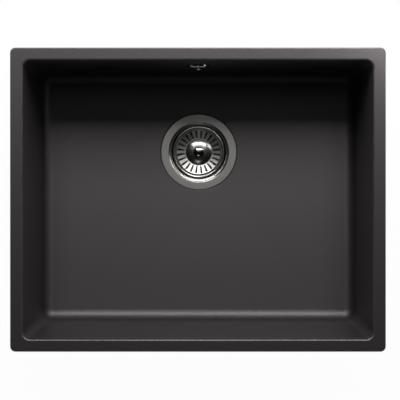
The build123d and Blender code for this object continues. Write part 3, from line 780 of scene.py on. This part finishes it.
def stage_material(colour):
    """Pale studio paper that looks white to the camera and in reflections, and is clear from behind."""
    material, tree, shader, _ = new_material("studio_paper")
    shader.inputs["Base Color"].default_value = (*colour, 1.0)
    shader.inputs["Roughness"].default_value = 1.0
    path = add_node(tree, "ShaderNodeLightPath").outputs
    seen = math_node(tree, "ADD", path["Is Camera Ray"], path["Is Glossy Ray"])
    seen = math_node(tree, "ADD", seen, path["Is Transmission Ray"])
    white_share = math_node(tree, "MULTIPLY", math_node(tree, "MINIMUM", seen, 1.0), PAPER_WHITE)
    white = add_node(tree, "ShaderNodeEmission", None, {"Strength": 1.0}).outputs[0]
    front_mix = {0: white_share, 1: shader.outputs[0], 2: white}
    front = add_node(tree, "ShaderNodeMixShader", None, front_mix).outputs[0]
    behind = add_node(tree, "ShaderNodeNewGeometry").outputs["Backfacing"]
    clear = add_node(tree, "ShaderNodeBsdfTransparent").outputs[0]
    both = add_node(tree, "ShaderNodeMixShader", None, {0: behind, 1: front, 2: clear}).outputs[0]
    tree.links.new(both, tree.nodes["Material Output"].inputs["Surface"])
    return material


def sweep_points(radius, floor_z, bend, rise):
    """Studio paper as rings round the Z axis: a flat floor that bends up into a round backdrop.

    The profile runs out along the floor, round a quarter circle of radius bend, and then straight up.
    """
    turn = np.linspace(0.0, math.pi / 2, PAPER_BEND_STEPS)
    out = np.concatenate([PAPER_RINGS, radius - bend + bend * np.sin(turn), [radius]])
    up = np.concatenate([np.zeros(len(PAPER_RINGS)), bend - bend * np.cos(turn), [rise]]) + floor_z
    angle = np.linspace(2 * math.pi, 0.0, PAPER_SIDES, endpoint=False)
    x = out[:, None] * np.cos(angle)[None, :]
    y = out[:, None] * np.sin(angle)[None, :]
    return np.stack([x, y, np.repeat(up[:, None], angle.size, axis=1)], axis=-1)


class SINK_OT_dress_bowl(Operator):
    """Gives the moulded bowl its filled resin finish"""

    bl_idname = "sink.dress_bowl"
    bl_label = "Dress Bowl"

    def execute(self, context):
        dress(resin_material(context.scene.sink_resin), "sink_bowl")
        return {"FINISHED"}


class SINK_OT_dress_waste_steel(Operator):
    """Gives the waste flange, basket, knob and screws their steel finishes"""

    bl_idname = "sink.dress_waste_steel"
    bl_label = "Dress Waste Steel"

    def execute(self, context):
        steel = context.scene.sink_steel
        flange = turned_steel_material(
            "satin_flange",
            steel.colour,
            roughness=steel.satin_roughness,
            pitch=steel.mark_pitch,
            axis_place=drain_place,
            polished=steel.polished_roughness,
            inner=steel.bevel_radius,
            groove=(steel.cup_radius, steel.bevel_radius, steel.groove_depth),
        )
        basket = turned_steel_material(
            "brushed_basket",
            steel.colour,
            roughness=steel.brushed_roughness,
            pitch=steel.mark_pitch,
            axis_place=drain_place,
            polished=steel.polished_roughness,
            inner=steel.dome_radius,
            outer=steel.cone_radius,
        )
        knob = turned_steel_material(
            "knob_chrome",
            shade(steel.colour, share=1.15),
            roughness=0.5 * steel.polished_roughness,
            pitch=steel.mark_pitch,
            axis_place=drain_place,
        )
        screws = turned_steel_material(
            "plain_steel", steel.colour, roughness=0.3, pitch=steel.mark_pitch, axis_place=drain_place
        )
        dress(flange, "waste_flange")
        dress(basket, "strainer_basket")
        dress(knob, "basket_knob")
        dress(screws, "clamp_screw", "clamp_washer", "basket_post", "stopper_washer", "catch_clip")
        return {"FINISHED"}


class SINK_OT_dress_overflow_cover(Operator):
    """Gives the overflow's cover and screw their chrome and steel finishes"""

    bl_idname = "sink.dress_overflow_cover"
    bl_label = "Dress Overflow Cover"

    def execute(self, context):
        steel = context.scene.sink_steel
        place = (rosette_low + rosette_high) / 2
        chrome = shade(steel.colour, share=1.1)
        cover = turned_steel_material(
            "cover_chrome", chrome, roughness=0.1, pitch=steel.mark_pitch, axis_place=place
        )
        screw = turned_steel_material(
            "cover_screw_steel", steel.colour, roughness=0.25, pitch=steel.mark_pitch, axis_place=place
        )
        dress(cover, "overflow_rosette")
        dress(screw, "overflow_screw")
        return {"FINISHED"}


class SINK_OT_dress_brass(Operator):
    """Gives the two held nuts their brass finish"""

    bl_idname = "sink.dress_brass"
    bl_label = "Dress Brass Nuts"

    def execute(self, context):
        steel = context.scene.sink_steel
        brass = turned_steel_material(
            "plain_brass", steel.brass_colour, roughness=0.3, pitch=steel.mark_pitch, axis_place=drain_place
        )
        dress(brass, "clamp_nut", "overflow_nut")
        return {"FINISHED"}


class SINK_OT_dress_rubber(Operator):
    """Gives the seals, gaskets and stopper their rubber finish"""

    bl_idname = "sink.dress_rubber"
    bl_label = "Dress Rubber Seals"

    def execute(self, context):
        fitting = context.scene.sink_fitting
        rubber = moulded_material(
            "black_rubber", fitting.rubber_colour, roughness=0.72, grain_size=0.0006, relief=0.25
        )
        dress(rubber, "flange_gasket", "lower_seal", "stopper")
        dress(rubber, "overflow_gasket", "upper_duct_seal", "lower_duct_seal")
        return {"FINISHED"}


class SINK_OT_dress_plastic(Operator):
    """Gives the waste body, overflow housing and duct their plastic finish"""

    bl_idname = "sink.dress_plastic"
    bl_label = "Dress Plastic Fittings"

    def execute(self, context):
        fitting = context.scene.sink_fitting
        plastic = moulded_material(
            "grey_plastic", fitting.plastic_colour, roughness=0.46, grain_size=0.0009, relief=0.12
        )
        dress(plastic, "waste_body", "overflow_housing", "overflow_duct")
        return {"FINISHED"}


class SINK_OT_add_outlet_thread(Operator):
    """Adds the thread on the outside of the waste outlet"""

    bl_idname = "sink.add_outlet_thread"
    bl_label = "Add Outlet Thread"

    def execute(self, context):
        fitting = context.scene.sink_fitting
        low = outlet_middle.z - outlet_length / 2 + fitting.thread_pitch
        high = outlet_middle.z + outlet_length / 2 - fitting.thread_pitch
        points = thread_points(
            outlet_radius, fitting.thread_height, fitting.thread_pitch, low, high, outlet_middle
        )
        thread = grid_mesh("outlet_thread", points, bpy.data.materials["grey_plastic"])
        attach(thread, "sink")
        return {"FINISHED"}


class SINK_OT_set_stage(Operator):
    """Sets up the camera, lamps, dim ceiling, floor and backdrop"""

    bl_idname = "sink.set_stage"
    bl_label = "Set Stage"

    def execute(self, context):
        scene = context.scene
        studio = scene.sink_studio
        scene.view_settings.view_transform = "Standard"

        camera = bpy.data.cameras.new("photo_camera")
        camera.sensor_width = SENSOR_WIDTH
        camera.lens = studio.camera_lens
        scale = camera.lens / camera.sensor_width / studio.camera_place[2]
        camera.shift_x = 0.5 - studio.rim_centre[0] / studio.picture_size - studio.camera_place[0] * scale
        camera.shift_y = studio.rim_centre[1] / studio.picture_size - 0.5 - studio.camera_place[1] * scale
        stand = bpy.data.objects.new("photo_camera", camera)
        stand.location = studio.camera_place
        scene.collection.objects.link(stand)
        scene.camera = stand

        area_lamp("key_lamp", studio.key_place, LAMP_AIM, studio.key_power, studio.key_size)
        area_lamp("top_lamp", studio.top_place, LAMP_AIM, studio.top_power, studio.top_size)
        area_lamp("rim_lamp", studio.rim_place, LAMP_AIM, studio.rim_power, studio.rim_size)
        area_lamp("front_lamp", studio.front_place, LAMP_AIM, studio.front_power, studio.front_size)
        for name, place in FILL_PLACES.items():
            area_lamp(name, place, FILL_AIM, studio.fill_power, studio.fill_size)

        world = bpy.data.worlds.new("dim_ceiling")
        world.use_nodes = True
        background = world.node_tree.nodes["Background"]
        background.inputs["Color"].default_value = (studio.ceiling, studio.ceiling, studio.ceiling, 1.0)
        scene.world = world

        paper = stage_material(studio.floor_colour)
        sweep = sweep_points(PAPER_RADIUS, cad_box[0].z, PAPER_BEND, PAPER_RISE)
        floor = grid_mesh("studio_paper", sweep, paper, cap_end=False)
        return {"FINISHED"}


class SINK_PT_looks(Panel):
    """Settings and steps of the sink's looks"""

    bl_idname = "SINK_PT_looks"
    bl_label = "Resin Sink"
    bl_space_type = "VIEW_3D"
    bl_region_type = "UI"
    bl_category = "Sink"

    def draw(self, context):
        for name, group in SETTINGS:
            box = self.layout.box()
            settings = getattr(context.scene, name)
            for prop in group.__annotations__:
                box.prop(settings, prop)
        for step in STEPS:
            self.layout.operator(step.bl_idname)


SETTINGS = (
    ("sink_resin", ResinSettings),
    ("sink_steel", SteelSettings),
    ("sink_fitting", FittingSettings),
    ("sink_studio", StudioSettings),
)
STEPS = (
    SINK_OT_dress_bowl,
    SINK_OT_dress_waste_steel,
    SINK_OT_dress_overflow_cover,
    SINK_OT_dress_brass,
    SINK_OT_dress_rubber,
    SINK_OT_dress_plastic,
    SINK_OT_add_outlet_thread,
    SINK_OT_set_stage,
)


def register():
    """Registers the settings, steps and panel."""
    for name, group in SETTINGS:
        bpy.utils.register_class(group)
        setattr(bpy.types.Scene, name, PointerProperty(type=group))
    for step in STEPS:
        bpy.utils.register_class(step)
    bpy.utils.register_class(SINK_PT_looks)


def unregister():
    """Takes back what register added."""
    bpy.utils.unregister_class(SINK_PT_looks)
    for step in reversed(STEPS):
        bpy.utils.unregister_class(step)
    for name, group in reversed(SETTINGS):
        delattr(bpy.types.Scene, name)
        bpy.utils.unregister_class(group)


def main():
    """Registers the add-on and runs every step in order."""
    register()
    bpy.ops.sink.dress_bowl()
    bpy.ops.sink.dress_waste_steel()
    bpy.ops.sink.dress_overflow_cover()
    bpy.ops.sink.dress_brass()
    bpy.ops.sink.dress_rubber()
    bpy.ops.sink.dress_plastic()
    bpy.ops.sink.add_outlet_thread()
    bpy.ops.sink.set_stage()


if __name__ == "__main__":
    main()
